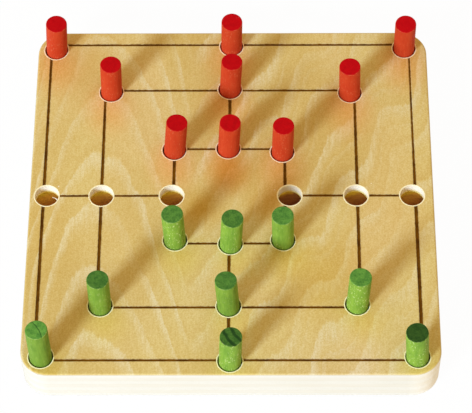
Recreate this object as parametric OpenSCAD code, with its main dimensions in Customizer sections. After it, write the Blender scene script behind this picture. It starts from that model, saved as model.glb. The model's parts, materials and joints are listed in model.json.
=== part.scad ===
// Nine mens morris board: a square of plywood with burnt lines and blind holes,
// and eighteen loose dowel pegs, nine red and nine green, standing before the first move.
// The origin is at the middle of the board's underside, +Z is up and +Y is the back.

/* [Board] */
// Side of the square board
board_side = 150; // [125:1:200]
// Radius of the board's four corners
corner_r = 10; // [6:0.5:14]
// Rounding of the top and bottom edges
edge_r = 0.8; // [0.3:0.1:1.4]

/* [Plies] */
// Thickness of the face ply and of the back ply
face_ply_t = 2.25; // [1.6:0.05:3]
// Thickness of each ply between them
core_ply_t = 2.3; // [1.6:0.1:3.2]
// Number of plies between the face and the back
core_plies = 5; // [3:2:7]

/* [Lines] */
// From the board's edge to the middle of the outer line
line_margin = 6; // [5:0.5:10]
// Side of the inner square
inner_side = 41.4; // [36:0.2:56]
// Where the middle square lies on the way from the inner square (0) to the outer one (1)
middle_place = 0.555; // [0.45:0.005:0.65]
// Width of a line at the surface
line_w = 1.1; // [0.6:0.1:2]
// Width of a line at its floor
line_floor_w = 0.6; // [0.3:0.1:1]
// Depth of a line
line_depth = 0.2; // [0.1:0.05:1]
// How far the whole pattern sits to the right of the board's middle
pattern_shift = -0.8; // [-1.5:0.1:1.5]

/* [Holes] */
// How much wider a hole is than a peg
hole_play = 1; // [0.6:0.1:1.6]
// Number of plies that the holes go through
drilled_plies = 2; // [1:1:3]
// Breaking of the sharp rim round a hole
rim_break = 0.2; // [0.1:0.05:0.4]
// One step of the drilling's wandering off the pattern: 0 drills it true
wander_step = 0.5; // [0:0.05:0.5]

/* [Pegs] */
// Diameter of a peg
peg_d = 8; // [6:0.1:9.6]
// Length of a peg
peg_l = 21.6; // [16:0.1:30]
// Easing of the sharp edge at both ends of a peg
peg_ease = 0.25; // [0.1:0.05:0.6]
// How much of the pegs' leaning is kept: 0 stands them upright
peg_lean = 1; // [0:0.1:1]

/* [Hidden] */
$fn = 96;
// How far a cut runs on past the surface it opens
CUT = 1;
// Room under the lowest point of a peg
SEAT_GAP = 0.05;
// Least room between a leaning peg and its hole
SIDE_GAP = 0.15;
// Least flat left between a hole's rim and the rounded edge
RIM_LAND = 0.2;
// The pegs' leans are given in steps of this share of the steepest
LEAN_STEP = 0.1;

RED = [0.73, 0.07, 0.07];
GREEN = [0.42, 0.62, 0.2];
GOLDEN_FACE = [0.84, 0.7, 0.42];
PALE_PLY = [0.98, 0.94, 0.84];
DARK_PLY = [0.9, 0.83, 0.69];

board_t = 2 * face_ply_t + core_plies * core_ply_t;
hole_depth = face_ply_t + (drilled_plies - 1) * core_ply_t;
hole_r = (peg_d + hole_play) / 2;
peg_r = peg_d / 2;
outer_half = board_side / 2 - line_margin;
inner_half = inner_side / 2;
// Farthest that a hole's middle may lie from the board's middle, to the side or to the back
farthest = board_side / 2 - edge_r - RIM_LAND - rim_break - hole_r;
// Tangent of the steepest lean that a hole's play allows
steepest = (hole_play - 2 * SIDE_GAP) / hole_depth;

RINGS = ["outer", "middle", "inner"];
COLUMNS = ["left", "centre", "right"];
ALL_RINGS = [0, 1, 2];
ALL_COLUMNS = [-1, 0, 1];
BACK = 1;
FRONT = -1;

// Half the side of each square of lines
half_side = [outer_half, inner_half + middle_place * (outer_half - inner_half), inner_half];
// How far inside its lines each square's corner holes and side holes were drilled
CORNER_INSET = [1.8, 1.2, 0.9];
SIDE_INSET = [0.7, 0, -0.7];

// The drill's wandering that is left, in steps to the right and to the back:
// for each square the left, centre and right hole of its row
BACK_WANDER = [
    [[0, -1], [1, 0], [0, 0]],
    [[2, 1], [0, 1], [-1, 0]],
    [[-2, 1], [-1, -1], [0, -1]]
];
FRONT_WANDER = [
    [[1, -1], [1, -2], [0, -1]],
    [[0, -1], [0, 1], [0, 0]],
    [[0, 1], [1, 1], [0, 1]]
];
// The same for the two holes of the row that starts empty, to the right only
SIDE_WANDER = [[1, -1], [0, -1], [0, 2]];

// Each peg's lean in steps, in the same order and directions
RED_LEAN = [
    [[4, -1], [1, -4], [-1, -4]],
    [[2, 2], [3, 2], [-2, 0]],
    [[5, 2], [3, 0], [1, 1]]
];
GREEN_LEAN = [
    [[-1, 5], [2, 1], [-4, 1]],
    [[0, 3], [-3, 2], [2, 4]],
    [[-2, 2], [3, 1], [-1, 0]]
];

function peg_name(colour, ring, column) = str(colour, "_peg_", RINGS[ring], "_", COLUMNS[column + 1]);
function core_name(ply) = str("core_ply_", ply);

CORE_NODES = [for (ply = [1:core_plies]) core_name(ply)];
PEG_NODES = [
    for (colour = ["red", "green"], ring = ALL_RINGS, column = ALL_COLUMNS) peg_name(colour, ring, column)
];

// A hole's place, held back from the board's edge
function held_in(at) = [for (v = at) max(-farthest, min(farthest, v))];

// Middle of the hole in one column of a square's back or front row
function row_hole(ring, column, side) =
    let (
        inset = column == 0 ? SIDE_INSET[ring] : CORNER_INSET[ring],
        reach = half_side[ring] - inset,
        wander = (side == BACK ? BACK_WANDER : FRONT_WANDER)[ring][column + 1]
    )
    held_in([pattern_shift + column * reach, side * reach] + wander_step * wander);

// Middle of the hole halfway up a square's left or right side, in the row that starts empty
function side_hole(ring, column) =
    let (
        reach = half_side[ring] - SIDE_INSET[ring],
        wander = SIDE_WANDER[ring][column < 0 ? 0 : 1]
    )
    held_in([pattern_shift + column * reach + wander_step * wander, 0]);

HOLES = concat(
    [for (side = [BACK, FRONT], ring = ALL_RINGS, column = ALL_COLUMNS) row_hole(ring, column, side)],
    [for (ring = ALL_RINGS, column = [-1, 1]) side_hole(ring, column)]
);

// A flat plate with the board's outline, from the given height up
module plate(z, t) {
    straight = board_side - 2 * corner_r;
    corner = board_side / 2 - corner_r;
    translate([0, 0, z]) {
        translate([-straight / 2, -board_side / 2, 0]) cube([straight, board_side, t]);
        translate([-board_side / 2, -straight / 2, 0]) cube([board_side, straight, t]);
        for (x = [-corner, corner], y = [-corner, corner])
            translate([x, y, 0]) cylinder(r = corner_r, h = t);
    }
}

// What sanding takes off a square edge that lies at [0, 0], with the wood to the left and below
module edge_waste() {
    difference() {
        translate([-edge_r, -edge_r]) square(edge_r + CUT);
        translate([-edge_r, -edge_r]) circle(r = edge_r);
    }
}

// The waste all round the edge of the board's top face, or of its underside
module sanded_off(underside = false) {
    straight = board_side - 2 * corner_r;
    translate([0, 0, underside ? 0 : board_t])
        mirror([0, 0, underside ? 1 : 0])
            for (turn = [0:90:270])
                rotate(turn) {
                    translate([board_side / 2, straight / 2, 0])
                        rotate([90, 0, 0]) linear_extrude(straight) edge_waste();
                    translate([straight / 2, straight / 2, 0])
                        rotate_extrude(angle = 90) translate([corner_r, 0]) edge_waste();
                }
}

// One burnt line along X in the top face, centred on the origin
module burnt_line(length) {
    translate([0, 0, board_t])
        rotate([90, 0, 90])
            linear_extrude(length, center = true)
                polygon([
                    [-line_floor_w / 2, -line_depth],
                    [line_floor_w / 2, -line_depth],
                    [line_w / 2, 0],
                    [line_w / 2, CUT],
                    [-line_w / 2, CUT],
                    [-line_w / 2, 0]
                ]);
}

// Three squares, and the four lines that join the middles of their sides
module burnt_pattern() {
    join = half_side[0] - half_side[2];
    translate([pattern_shift, 0, 0])
        for (turn = [0:90:270])
            rotate(turn) {
                for (half = half_side)
                    translate([0, half, 0]) burnt_line(2 * half);
                translate([half_side[2] + join / 2, 0, 0]) burnt_line(join);
            }
}

// Every hole's bore through one ply
module bores(z, t) {
    for (hole = HOLES)
        translate([hole[0], hole[1], z - CUT]) cylinder(r = hole_r, h = t + 2 * CUT);
}

// The broken rim at every hole's mouth
module rims() {
    for (hole = HOLES)
        translate([hole[0], hole[1], board_t - rim_break])
            cylinder(r1 = hole_r, r2 = hole_r + rim_break + CUT, h = rim_break + CUT);
}

module face_ply() {
    bottom = board_t - face_ply_t;
    color(GOLDEN_FACE)
        difference() {
            plate(bottom, face_ply_t);
            sanded_off();
            burnt_pattern();
            bores(bottom, face_ply_t);
            rims();
        }
}

// The plies under the face, numbered from the top; their grain runs across and along by turns
module core_ply(ply) {
    bottom = board_t - face_ply_t - ply * core_ply_t;
    color(ply % 2 == 1 ? DARK_PLY : PALE_PLY)
        difference() {
            plate(bottom, core_ply_t);
            if (ply < drilled_plies) bores(bottom, core_ply_t);
        }
}

module back_ply() {
    color(PALE_PLY)
        difference() {
            plate(0, face_ply_t);
            sanded_off(underside = true);
        }
}

// A dowel with eased ends, standing on the origin
module dowel() {
    rotate_extrude()
        polygon([
            [0, 0],
            [peg_r - peg_ease, 0],
            [peg_r, peg_ease],
            [peg_r, peg_l - peg_ease],
            [peg_r - peg_ease, peg_l],
            [0, peg_l]
        ]);
}

// A peg as it stands in its hole. A leaning peg rests on one point of its foot, with its foot
// towards one side of the hole and its shank towards the rim of the other
module peg(hole, lean) {
    slope = peg_lean * steepest * LEAN_STEP * lean;
    tilt = atan(norm(slope));
    foot = hole - hole_depth / 2 * slope;
    rise = SEAT_GAP + (peg_r - peg_ease) * sin(tilt);
    translate([foot[0], foot[1], board_t - hole_depth + rise])
        rotate([0, tilt, atan2(slope[1], slope[0])])
            dowel();
}

module red_peg(ring, column) {
    color(RED) peg(row_hole(ring, column, BACK), RED_LEAN[ring][column + 1]);
}

module green_peg(ring, column) {
    color(GREEN) peg(row_hole(ring, column, FRONT), GREEN_LEAN[ring][column + 1]);
}

face_ply();
for (ply = [1:core_plies])
    core_ply(ply);
back_ply();
for (ring = ALL_RINGS, column = ALL_COLUMNS) {
    red_peg(ring, column);
    green_peg(ring, column);
}
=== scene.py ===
"""Looks of the nine mens morris board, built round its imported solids.

The seven veneers of the board keep their solids and are dressed here. The pegs are modelled again, rounder
and a little uneven, over their solids. The raised rims and drilled floors of the holes, and the splinter
left in one hole, are pieces of their own. Everything is in metres, in the solids' frame.
"""
import functools
import json
import logging
import math
from dataclasses import dataclass, field, replace
from enum import Enum

import bmesh
import bpy
from mathutils import Matrix, Vector, noise


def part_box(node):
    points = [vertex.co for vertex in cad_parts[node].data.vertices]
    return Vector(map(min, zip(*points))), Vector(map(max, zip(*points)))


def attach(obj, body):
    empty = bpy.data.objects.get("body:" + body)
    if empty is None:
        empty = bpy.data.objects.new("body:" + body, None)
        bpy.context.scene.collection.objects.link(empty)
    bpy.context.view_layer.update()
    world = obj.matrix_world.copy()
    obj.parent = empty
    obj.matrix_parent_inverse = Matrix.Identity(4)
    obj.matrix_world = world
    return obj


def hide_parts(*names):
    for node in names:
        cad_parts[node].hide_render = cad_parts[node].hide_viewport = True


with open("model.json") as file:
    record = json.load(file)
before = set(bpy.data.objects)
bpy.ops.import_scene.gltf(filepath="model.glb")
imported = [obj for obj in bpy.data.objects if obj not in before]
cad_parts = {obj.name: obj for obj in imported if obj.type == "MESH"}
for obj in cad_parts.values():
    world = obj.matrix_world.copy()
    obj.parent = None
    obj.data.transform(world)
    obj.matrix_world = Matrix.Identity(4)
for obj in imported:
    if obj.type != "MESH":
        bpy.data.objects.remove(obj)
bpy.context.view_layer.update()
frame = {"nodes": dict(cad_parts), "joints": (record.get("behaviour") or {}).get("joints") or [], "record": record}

log = logging.getLogger("morris_board")
MM = 0.001
EVEN = (1.0, 1.0, 1.0)
FLAT = (1.0, 1.0, 0.0)

Span = tuple[float, float]
Three = tuple[float, float, float]
Colour = tuple[float, float, float]


class Grain(Enum):
    """Which way a veneer's fibres run: from left to right, or from front to back."""

    ACROSS = (1.0, 0.0, 0.0)
    AWAY = (0.0, 1.0, 0.0)


class Stain(Enum):
    """The two sides' colours, as the record names their material slots."""

    RED = "peg_red"
    GREEN = "peg_green"


class Wire:
    """One output of a node. What is worked out from it is a further node in the same tree."""

    def __init__(self, wiring: "Wiring", socket: bpy.types.NodeSocket) -> None:
        """Keeps the socket, and the wiring of its tree."""
        self.wiring = wiring
        self.socket = socket

    def __add__(self, other: "Feed") -> "Wire":
        """The sum of both."""
        return self.wiring.math("ADD", self, other)

    def __sub__(self, other: "Feed") -> "Wire":
        """This less the other."""
        return self.wiring.math("SUBTRACT", self, other)

    def __rsub__(self, other: "Feed") -> "Wire":
        """The other less this."""
        return self.wiring.math("SUBTRACT", other, self)

    def __mul__(self, other: "Feed") -> "Wire":
        """The product of both."""
        return self.wiring.math("MULTIPLY", self, other)

    def __abs__(self) -> "Wire":
        """This without its sign."""
        return self.wiring.math("ABSOLUTE", self)

    def rise(self, low: "Feed", high: "Feed") -> "Wire":
        """A smooth rise from 0 where this is low to 1 where it is high."""
        return self.wiring.node("MapRange", {0: self, 1: low, 2: high}, interpolation_type="SMOOTHSTEP")[0]

    def fall(self, low: "Feed", high: "Feed") -> "Wire":
        """A smooth fall from 1 where this is low to 0 where it is high."""
        return 1.0 - self.rise(low, high)

    def between(self, first: "Feed", second: "Feed") -> "Wire":
        """A number that goes from the first to the second as this share goes from 0 to 1."""
        return self.wiring.node("Mix", {0: self, 2: first, 3: second}, data_type="FLOAT")[0]

    def colour(self, first: "Feed", second: "Feed") -> "Wire":
        """A colour that goes from the first to the second as this share goes from 0 to 1."""
        return self.wiring.node("Mix", {0: self, 6: first, 7: second}, data_type="RGBA")[2]

    def multiplied(self, tint: "Feed", share: "Feed" = 1.0) -> "Wire":
        """This colour multiplied by a tint, or by a share of it."""
        feeds = {0: share, 6: self, 7: tint}
        return self.wiring.node("Mix", feeds, data_type="RGBA", blend_type="MULTIPLY")[2]

    def tinted(self, amount: "Wire", weights: Colour = EVEN) -> "Wire":
        """This colour made lighter by an amount about 0, by its own weight in each channel."""
        return self.multiplied(self.wiring.vector("MULTIPLY_ADD", amount, weights, EVEN))

    def parts(self) -> list["Wire"]:
        """The X, Y and Z of this vector."""
        made = self.wiring.node("SeparateXYZ", {0: self})
        return [made[0], made[1], made[2]]

    def stretched(self, x: float, y: float, z: float) -> "Wire":
        """This place with its three axes scaled."""
        return self.wiring.vector("MULTIPLY", self, (x, y, z))

    def noise(self, scale: "Feed", detail: float = 2.0, rough: float = 0.5, warp: float = 0.0) -> "Wire":
        """Soft noise about 0.5 at this place.

        Args:
            scale: How many features there are to a metre.
            detail: How many finer layers lie on it.
            rough: How strong the finer layers are.
            warp: How much it is distorted.

        Returns:
            The noise.
        """
        feeds = {"Vector": self, "Scale": scale, "Detail": detail, "Roughness": rough, "Distortion": warp}
        return self.wiring.node("TexNoise", feeds)[0]

    def waver(self, scale: float, reach: float, detail: float = 1.0) -> "Wire":
        """Soft noise about 0 at this place, as far as a reach to either side."""
        return (self.noise(scale, detail) - 0.5) * (2.0 * reach)


Feed = Wire | float | Three


class Placed:
    """A node in its tree."""

    def __init__(self, wiring: "Wiring", node: bpy.types.Node) -> None:
        """Keeps the node, and the wiring of its tree."""
        self.wiring = wiring
        self.node = node

    def __getitem__(self, key: int | str) -> Wire:
        """One of the node's outputs, by its number or name."""
        return Wire(self.wiring, self.node.outputs[key])


class Wiring:
    """Adds nodes to one tree."""

    def __init__(self, tree: bpy.types.NodeTree) -> None:
        """Starts on the tree of a material, world or group, and clears it."""
        self.tree = tree
        tree.nodes.clear()

    def node(self, kind: str, feeds: dict[int | str, Feed] | None = None, **settings: object) -> Placed:
        """Adds one node.

        Args:
            kind: The node's type, without its ShaderNode beginning.
            feeds: What goes into each input, by name or number.
            **settings: The node's own settings.

        Returns:
            The node.
        """
        made = self.tree.nodes.new("ShaderNode" + kind)
        for name, value in settings.items():
            setattr(made, name, value)
        for key, value in (feeds or {}).items():
            self.feed(made.inputs[key], value)
        return Placed(self, made)

    def feed(self, socket: bpy.types.NodeSocket, value: Feed) -> None:
        """Links a wire to an input, or sets the input.

        Args:
            socket: The input.
            value: A wire, a number, or a colour or vector of three numbers.
        """
        if isinstance(value, Wire):
            self.tree.links.new(value.socket, socket)
        elif socket.type == "RGBA":
            socket.default_value = (*value, 1.0)
        else:
            socket.default_value = value

    def math(self, operation: str, *terms: Feed) -> Wire:
        """One step of arithmetic on numbers, such as ADD or MAXIMUM."""
        return self.node("Math", dict(enumerate(terms)), operation=operation)[0]

    def vector(self, operation: str, *terms: Feed) -> Wire:
        """One step of arithmetic on vectors. A length, distance or dot product is a number."""
        made = self.node("VectorMath", dict(enumerate(terms)), operation=operation)
        return made["Value" if operation in ("LENGTH", "DISTANCE", "DOT_PRODUCT") else "Vector"]

    def least(self, wires: list[Wire]) -> Wire:
        """The lowest of several numbers."""
        return functools.reduce(functools.partial(self.math, "MINIMUM"), wires)

    def attribute(self, name: str, output: str = "Vector") -> Wire:
        """What a mesh attribute of this name holds."""
        return self.node("Attribute", attribute_name=name)[output]

    def group(self, tree: bpy.types.NodeTree, **feeds: Feed) -> Placed:
        """Places a shared node group."""
        return self.node("Group", feeds, node_tree=tree)


class GroupWiring(Wiring):
    """The wiring of a node group that several finishes use."""

    def __init__(self, name: str, **inputs: str) -> None:
        """Makes a group with its inputs, whose wires are in taken.

        Args:
            name: The group's name.
            **inputs: Each input's kind, such as Float, by its name.
        """
        super().__init__(bpy.data.node_groups.new(name, "ShaderNodeTree"))
        for socket, kind in inputs.items():
            self.tree.interface.new_socket(name=socket, in_out="INPUT", socket_type="NodeSocket" + kind)
        taken = Placed(self, self.tree.nodes.new("NodeGroupInput"))
        self.taken = [taken[socket] for socket in inputs]

    def close(self, **outputs: Wire) -> bpy.types.NodeTree:
        """Gives the group its outputs.

        Args:
            **outputs: What each output puts out, by its name.

        Returns:
            The group.
        """
        for name, wire in outputs.items():
            kind = "NodeSocketColor" if wire.socket.type == "RGBA" else "NodeSocketFloat"
            self.tree.interface.new_socket(name=name, in_out="OUTPUT", socket_type=kind)
        given = self.tree.nodes.new("NodeGroupOutput")
        for name, wire in outputs.items():
            self.feed(given.inputs[name], wire)
        return self.tree


@dataclass(frozen=True)
class Cloud:
    """Soft noise over a stretched place, spread from 0 to 1 between two of its levels."""

    scale: float
    low: float = 0.3
    high: float = 0.7
    stretch: Three = EVEN
    detail: float = 2.0
    rough: float = 0.5

    def over(self, place: Wire) -> Wire:
        """The noise at a place."""
        read = place.stretched(*self.stretch).noise(self.scale, self.detail, self.rough)
        return read.rise(self.low, self.high)


@functools.cache
def fibre_group() -> bpy.types.NodeTree:
    """Wood fibres: fine streaks along the stretched axis, and short flecks among them.

    Returns:
        The group, which takes a Place that is already stretched and a Fineness to the metre, and puts out
        Streak and Fleck.
    """
    group = GroupWiring("fibres", Place="Vector", Fineness="Float")
    place, fineness = group.taken
    streak = place.noise(fineness, detail=3.0, rough=0.62, warp=0.15).rise(0.3, 0.7)
    return group.close(Streak=streak, Fleck=place.noise(fineness * 1.3, detail=1.0).rise(0.57, 0.72))


@functools.cache
def speck_group() -> bpy.types.NodeTree:
    """Scattered small specks, such as dust, pits or bits of lifted stain.

    Returns:
        The group, which takes a Place, a Spacing in metres and a Size as a share of it, and puts out Mask.
    """
    group = GroupWiring("specks", Place="Vector", Spacing="Float", Size="Float")
    place, spacing, size = group.taken
    scale = group.math("DIVIDE", 1.0, spacing)
    cells = group.node("TexVoronoi", {"Vector": place, "Scale": scale, "Randomness": 1.0})
    reach = size * group.node("SeparateColor", {0: cells["Color"]})[0]
    return group.close(Mask=cells["Distance"].fall(reach * 0.6, reach))


@functools.cache
def cut_wood_group() -> bpy.types.NodeTree:
    """Bare cut wood, with end grain where it faces along the fibres and long grain elsewhere.

    Returns:
        The group, which takes a Place, the way the surface is Facing, the Grain's direction and the Pale and
        Dark colours, and puts out Colour and Height.
    """
    kinds = {"Place": "Vector", "Facing": "Vector", "Grain": "Vector", "Pale": "Color", "Dark": "Color"}
    group = GroupWiring("cut_wood", **kinds)
    place, facing, grain, pale, dark = group.taken
    endness = abs(group.vector("DOT_PRODUCT", facing, grain)).rise(0.35, 0.8)
    # the place along the grain is squeezed, so that the streaks run along it
    along = group.vector("DOT_PRODUCT", place, grain)
    drawn = group.vector("ADD", place, group.vector("MULTIPLY", grain, along * -0.95))
    rays = Cloud(2600.0, stretch=(1.0, 1.0, 0.2), rough=0.7).over(place)
    pattern = endness.between(fibres(drawn, 1300.0)["Streak"], rays)
    share = pattern * 0.5 + Cloud(45.0, stretch=(1.0, 1.0, 4.0)).over(place) * 0.5
    return group.close(Colour=share.colour(dark, pale), Height=pattern)


def fibres(place: Wire, fineness: float, stretch: Three = EVEN) -> Placed:
    """Places the fibres where a place is stretched along them."""
    return place.wiring.group(fibre_group(), Place=place.stretched(*stretch), Fineness=fineness)


@dataclass(frozen=True)
class Specks:
    """Small specks scattered over a surface: how far apart, how large a share of that, and how plain."""

    spacing: float
    size: float
    amount: float

    def over(self, place: Wire) -> Wire:
        """How much of a speck there is at a place."""
        placed = place.wiring.group(speck_group(), Place=place, Spacing=self.spacing, Size=self.size)
        return placed["Mask"] * self.amount


@dataclass(frozen=True)
class Coat:
    """How a finish shines, and how velvety it is: the same values all over its surface."""

    roughness: float
    specular: float = 0.1
    lacquer: float = 0.0
    lacquer_roughness: float = 0.2
    velvet: float = 0.0

    def close(self, colour: Wire, height: Wire, depth: float, over: dict[str, Wire] | None = None) -> None:
        """Ends a material in one wood shader.

        Args:
            colour: The colour over the surface.
            height: The relief over the surface, from 0 to 1.
            depth: How deep the relief is, in metres.
            over: The shader's other inputs that change over the surface.
        """
        wiring = colour.wiring
        feeds = {
            "Base Color": colour,
            "Roughness": self.roughness,
            "Specular IOR Level": self.specular,
            "Coat Weight": self.lacquer,
            "Coat Roughness": self.lacquer_roughness,
            "Diffuse Roughness": self.velvet,
            "Normal": wiring.node("Bump", {"Height": height, "Distance": depth, "Strength": 1.0})[0],
        }
        shader = wiring.node("BsdfPrincipled", feeds | (over or {}))
        wiring.node("OutputMaterial", {"Surface": shader[0]})


def new_material(name: str) -> tuple[bpy.types.Material, Wiring]:
    """Starts a material.

    Args:
        name: The material's name.

    Returns:
        The material and the wiring of its empty tree.
    """
    made = bpy.data.materials.new(name)
    made.use_nodes = True
    return made, Wiring(made.node_tree)


@dataclass(frozen=True)
class Hole:
    """One blind hole: its floor's middle, the stain of the peg in it, and how much painted shade darkens its
    floor.
    """

    middle: Vector
    stain: Stain | None = None
    floor_shade: float = 0.3

    def tint(self) -> Colour:
        """The light that its peg reflects on to its rim's bare wood, painted into the rim's colour."""
        tints = {Stain.RED: (1.0, 0.83, 0.68), Stain.GREEN: (1.0, 1.0, 0.72), None: (1.0, 0.97, 0.79)}
        return tints[self.stain]


@dataclass(frozen=True)
class ReflectedPegLight:
    """Painted light: the colour that one side's pegs reflect on to the wood round or before them."""

    stain: Stain
    tint: Colour
    wide: float
    long: float
    aside: float = 0.0
    ahead: float = 0.0
    reach: float = 1.1

    def on(self, colour: Wire, place: Wire, holes: tuple[Hole, ...]) -> Wire:
        """Paints the light that this stain's pegs reflect on a colour near them.

        Args:
            colour: The colour without it.
            place: Object coordinates.
            holes: The holes in the veneer, of which only this stain's matter.

        Returns:
            The colour with it.
        """
        flat = place.stretched(1.0 / self.wide, 1.0 / self.long, 0.0)
        off = []
        for hole in holes:
            if hole.stain is self.stain:
                x, y = hole.middle.x + self.aside, hole.middle.y + self.ahead
                off.append(place.wiring.vector("DISTANCE", flat, (x / self.wide, y / self.long, 0.0)))
        if not off:
            return colour
        return colour.multiplied(self.tint, place.wiring.least(off).fall(0.0, self.reach))


@dataclass(frozen=True)
class CutEdge:
    """A veneer's bare edge: its grain, its two tones and its height in the board."""

    name: str
    grain: Grain
    bottom: float
    top: float
    holes: tuple[Hole, ...] = ()
    pale: Colour = (0.735, 0.685, 0.605)
    dark: Colour = (0.705, 0.655, 0.565)
    bored_pale: Colour = (0.96, 0.88, 0.73)
    bored_dark: Colour = (0.93, 0.83, 0.65)
    # painted light: the red and green pegs reflect their colour on to the walls of their holes
    peg_light_on_walls: tuple[ReflectedPegLight, ...] = (
        ReflectedPegLight(Stain.RED, (1.0, 0.4, 0.28), 12.0 * MM, 12.0 * MM),
        ReflectedPegLight(Stain.GREEN, (0.7, 0.9, 0.4), 12.0 * MM, 12.0 * MM),
    )
    # painted shade: how high, and in what colour, the wall is darkened above the floor
    foot_shade_height: float = 0.0
    foot_shade: Colour = (0.97, 0.9, 0.3)
    glue: Colour = (0.6, 0.52, 0.38)
    glue_reach: float = 0.16 * MM
    glue_share: float = 0.55
    glue_patches: Cloud = Cloud(160.0, 0.35, 0.75, stretch=(1.0, 1.0, 0.1))
    right_corners: Span = (62.0 * MM, 73.0 * MM)
    right_painted_light: float = 0.3
    left_corners: Span = (-74.0 * MM, -64.0 * MM)
    left_painted_shade: float = -0.07
    lip: Span = (0.1, 0.6)
    lip_paler: float = -0.22
    straight_to: float = 65.0 * MM
    outline: float = 9.3 * MM
    relief: float = 0.03 * MM
    coat: Coat = Coat(roughness=0.62)

    def bored(self, wood: Wire, place: Wire) -> Wire:
        """The wood in the holes, with painted light that the pegs reflect on it, and painted shade just above the
        floor.

        Args:
            wood: The fresh wood's colour.
            place: Object coordinates.

        Returns:
            The colour.
        """
        for rub in self.peg_light_on_walls:
            wood = rub.on(wood, place, self.holes)
        if self.foot_shade_height:
            # painted shade: the wall just above the floor is darkened and yellowed
            low = place.parts()[2].fall(self.bottom, self.bottom + self.foot_shade_height)
            wood = wood.multiplied(self.foot_shade, low)
        return wood

    def outside(self, place: Wire) -> Wire:
        """Tells the board's outline from the walls of its holes.

        Args:
            place: Object coordinates.

        Returns:
            1 at the outline, which is straight as far as the corners and round about them, and 0 inside it.
        """
        wiring = place.wiring
        over = wiring.vector("SUBTRACT", wiring.vector("ABSOLUTE", place), (self.straight_to,) * 3)
        past = wiring.vector("MAXIMUM", over, (0.0, 0.0, 0.0)).stretched(*FLAT)
        return wiring.math("GREATER_THAN", wiring.vector("LENGTH", past), self.outline)

    def bare(self, place: Wire, facing: Wire) -> tuple[Wire, Wire]:
        """The bare wood: sawn and smoothed at the board's edge, with a trace of glue and with painted light and
        shade round its corners, and fresh in its holes.

        Args:
            place: Object coordinates.
            facing: The object's normals.

        Returns:
            The colour and the relief.
        """
        grain = {"Place": place, "Facing": facing, "Grain": self.grain.value}
        sawn = place.wiring.group(cut_wood_group(), **grain, Pale=self.pale, Dark=self.dark)
        fresh = place.wiring.group(cut_wood_group(), **grain, Pale=self.bored_pale, Dark=self.bored_dark)
        x, _, height = place.parts()
        half = (self.top - self.bottom) / 2
        near = abs(height - (self.top + self.bottom) / 2).rise(half - self.glue_reach, half)
        glued = (near * self.glue_patches.over(place) * self.glue_share).colour(sawn["Colour"], self.glue)
        # painted light: the edge is paler round the right-hand corners, as if lit from the floor, and painted
        # shade makes it darker round the left
        corner_light_and_lip = x.rise(*self.right_corners) * self.right_painted_light + x.fall(*self.left_corners) * self.left_painted_shade
        # and it is darker on its rounded lip, the more that turns up towards the face
        corner_light_and_lip += facing.parts()[2].rise(*self.lip) * self.lip_paler
        bored = self.bored(fresh["Colour"], place)
        return self.outside(place).colour(bored, glued.tinted(corner_light_and_lip)), sawn["Height"]

    def material(self) -> bpy.types.Material:
        """The veneer's material, bare all over.

        Returns:
            The material.
        """
        made, wiring = new_material(self.name)
        coordinates = wiring.node("TexCoord")
        colour, height = self.bare(coordinates["Object"], coordinates["Normal"])
        self.coat.close(colour, height, self.relief)
        return made


@dataclass(frozen=True)
class LinePattern:
    """The burnt lines, as distances from the pattern's middle.

    Lines along the grain burnt a little wider, and they fade towards the back, the right one most.
    """

    shift: float = -0.8 * MM
    outer: float = 69.0 * MM
    middle: float = 47.507 * MM
    inner: float = 20.7 * MM
    along_grain: float = -0.05 * MM
    across_grain: float = 0.11 * MM
    fading: float = 0.12 * MM
    right_fading: float = 0.15 * MM
    right_heat: float = -0.05 * MM
    right_turn: Span = (-10.0 * MM, 25.0 * MM)

    def distance(self, place: Wire) -> Wire:
        """How far a place is from the middle of the nearest line, and a little more where that line is faint.

        Args:
            place: Object coordinates.

        Returns:
            The distance in metres.
        """
        wiring = place.wiring
        x, y, _ = place.parts()
        side, deep = abs(x - self.shift), abs(y)
        faded = y.rise(0.0, self.middle) * self.fading + self.along_grain
        change = y.rise(*self.right_turn).between(self.right_heat, self.right_fading)
        faded = x.rise(self.middle, self.outer) * change + faded
        spread = wiring.math("GREATER_THAN", side, deep).between(self.across_grain, faded)
        square = wiring.math("MAXIMUM", side, deep)
        off = [abs(square - half) + spread for half in (self.outer, self.middle, self.inner)]
        for across, along, heat in ((side, deep, self.along_grain), (deep, side, self.across_grain)):
            past = wiring.math("MAXIMUM", self.inner - along, along - self.outer)
            off.append(wiring.math("MAXIMUM", across + heat, past))
        return wiring.least(off)


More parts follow.
